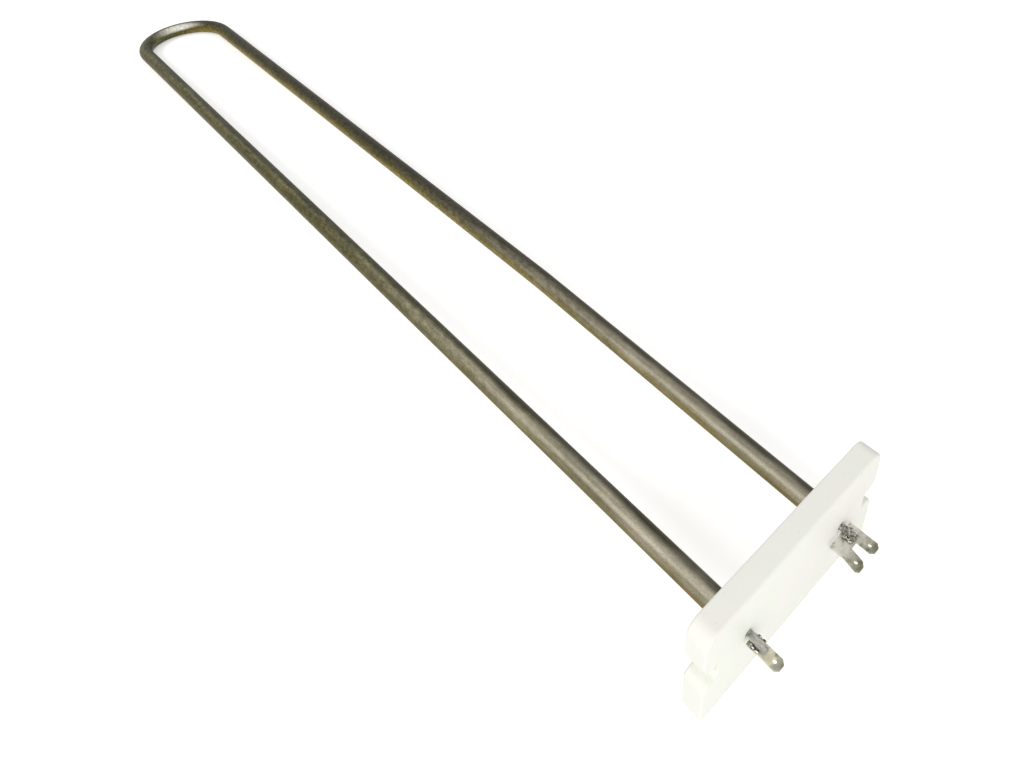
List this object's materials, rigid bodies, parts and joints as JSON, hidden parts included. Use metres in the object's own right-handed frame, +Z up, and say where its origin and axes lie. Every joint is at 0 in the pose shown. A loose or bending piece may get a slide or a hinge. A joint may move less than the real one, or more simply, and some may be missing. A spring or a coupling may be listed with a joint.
{
  "type": "tubular heating element",
  "caption": "Sheathed hairpin heating element with a white ceramic end block, a single and a twin flat terminal welded to its pins, as used for defrosting in refrigeration.",
  "frame": {"origin": "on the block's back face, midway between the two holes, at the height of the tube axis", "axes": "X along the block, Y along the legs towards the bend, Z up; the terminals point to -Y"},
  "size_m": [0.0842, 0.5294, 0.0442],
  "materials": {
    "oxidised_sheath": "annealed stainless steel with an olive brown oxide",
    "white_ceramic": "pressed and fired, matt",
    "tinned_blade": "tinned sheet, dull",
    "pin_steel": "plain drawn steel",
    "weld_metal": "rough spot welds",
    "resistance_wire": "plain wire, wound",
    "magnesia": "packed powder",
    "bush_ceramic": "matt"
  },
  "bodies": {
    "root": {"sheath_tube": "oxidised_sheath", "ceramic_block": "white_ceramic", "single_tab": "tinned_blade", "twin_tab": "tinned_blade", "single_pin": "pin_steel", "twin_pin": "pin_steel", "single_weld_left": "weld_metal", "single_weld_right": "weld_metal", "twin_weld_left": "weld_metal", "twin_weld_right": "weld_metal", "resistance_coil": "resistance_wire", "magnesia_packing": "magnesia", "single_bush": "bush_ceramic", "twin_bush": "bush_ceramic"}
  },
  "joints": []
}
